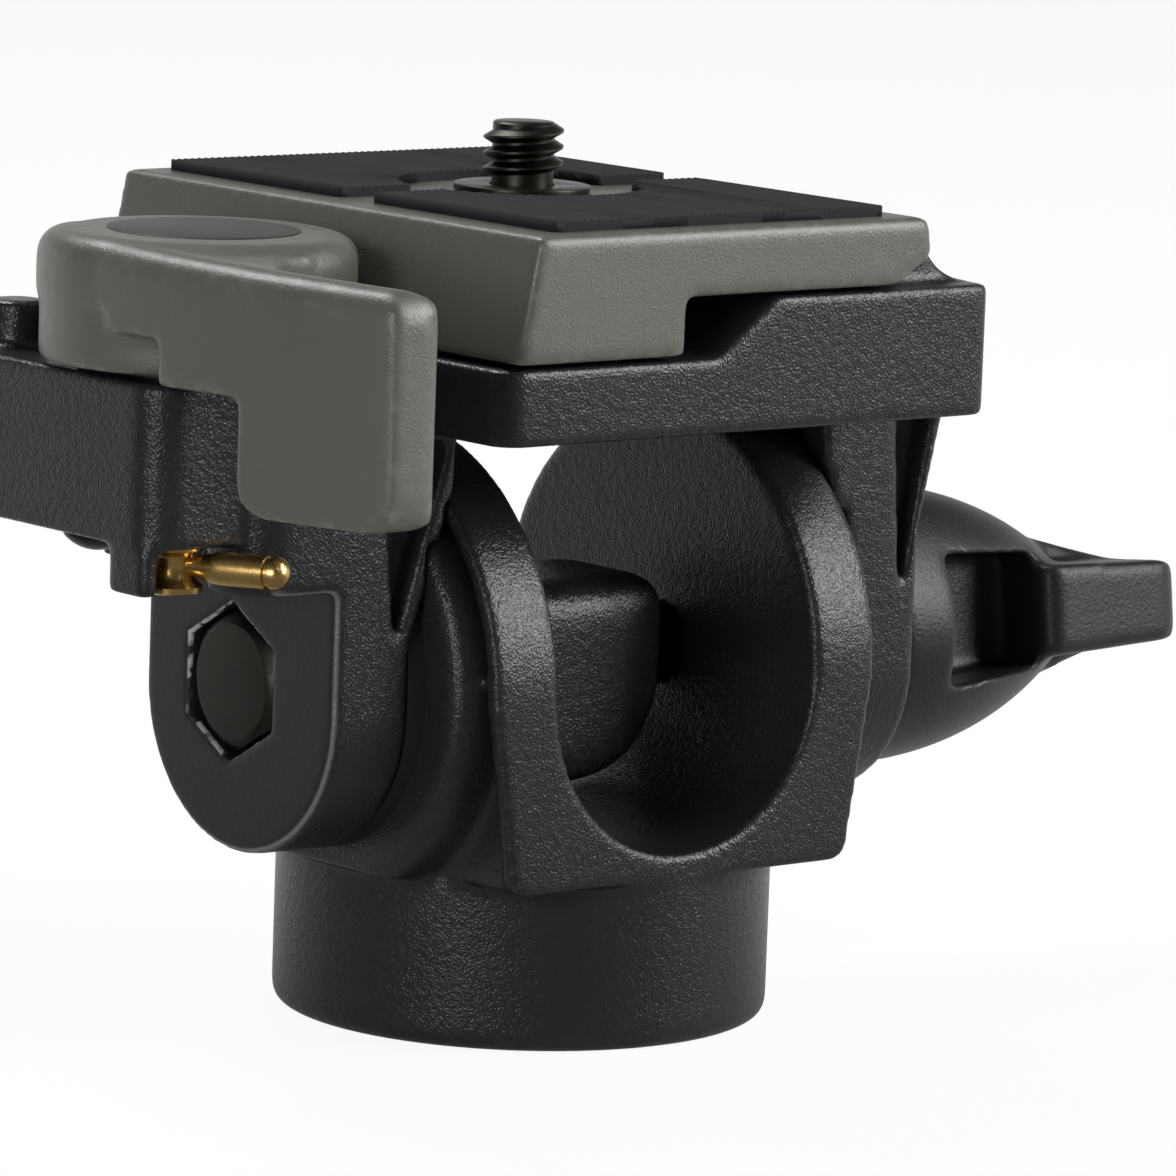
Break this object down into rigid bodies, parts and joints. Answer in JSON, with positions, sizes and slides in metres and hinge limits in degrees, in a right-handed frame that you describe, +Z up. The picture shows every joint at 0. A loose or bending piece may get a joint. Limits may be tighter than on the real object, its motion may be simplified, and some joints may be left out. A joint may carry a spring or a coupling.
{
  "type": "monopod tilt head",
  "caption": "Compact black tilt head for a monopod: round threaded foot, U fork, tilting platform with a winged clamp knob, lever quick release, padded plate and camera screw.",
  "frame": {"origin": "centre of the foot's underside, at the mouth of the monopod thread", "axes": "+Z up along the foot's axis, +X along the tilt bolt towards the knob, +Y to the back"},
  "size_m": [0.1121, 0.0611, 0.071],
  "materials": {
    "casting": "satin",
    "grey_casting": "satin",
    "steel": "satin",
    "bright_steel": "satin",
    "brass": "polished",
    "friction": "matte",
    "knob": "satin",
    "rubber": "matte"
  },
  "bodies": {
    "base": {"base_casting": "casting", "friction_disc_left": "friction", "friction_disc_right": "friction"},
    "head": {"platform_casting": "casting", "tilt_bolt": "steel", "thrust_washer": "bright_steel", "spring_washer": "bright_steel", "spring_screw": "steel", "lever_washer": "bright_steel", "lever_spring": "bright_steel", "trigger_collar": "bright_steel", "trigger_spring": "bright_steel"},
    "knob": {"tilt_knob": "knob", "knob_nut": "brass"},
    "lever": {"qr_lever": "grey_casting", "lever_pivot": "bright_steel"},
    "catch": {"safety_catch": "brass"},
    "trigger": {"trigger_pin": "brass"},
    "plate": {"quick_plate": "grey_casting", "pad_front": "rubber", "pad_rear": "rubber"},
    "screw": {"camera_screw": "steel", "screw_clip": "bright_steel"}
  },
  "joints": [
    {"name": "head_tilt", "type": "hinge", "parent": "base", "child": "head", "pos_m": [0, 0, 0.0284], "axis": [1, 0, 0], "range_deg": [-90, 90]},
    {"name": "knob_turn", "type": "hinge", "parent": "head", "child": "knob", "pos_m": [0.045, 0, 0.0284], "axis": [1, 0, 0], "continuous": true},
    {"name": "lever_open", "type": "hinge", "parent": "head", "child": "lever", "pos_m": [-0.03481, -0.0017, 0.06], "axis": [0, 0, -1], "range_deg": [0, 90], "stiffness_Nm_per_rad": 0.05, "springref_deg": -34.38, "deforming": ["lever_spring"]},
    {"name": "catch_swing", "type": "hinge", "parent": "head", "child": "catch", "pos_m": [-0.04161, -0.008, 0.04], "axis": [0, 0, -1], "range_deg": [0, 35]},
    {"name": "trigger_press", "type": "slide", "parent": "head", "child": "trigger", "axis": [0, 0, -1], "range_m": [0, 0.0012], "stiffness_N_per_m": 300, "springref_m": -0.001, "deforming": ["trigger_spring"]},
    {"name": "plate_slide", "type": "slide", "parent": "head", "child": "plate", "axis": [0, -1, 0], "range_m": [0, 0.056]},
    {"name": "screw_turn", "type": "hinge", "parent": "plate", "child": "screw", "pos_m": [-0.0025, 0, 0.066], "axis": [0, 0, 1], "continuous": true}
  ]
}
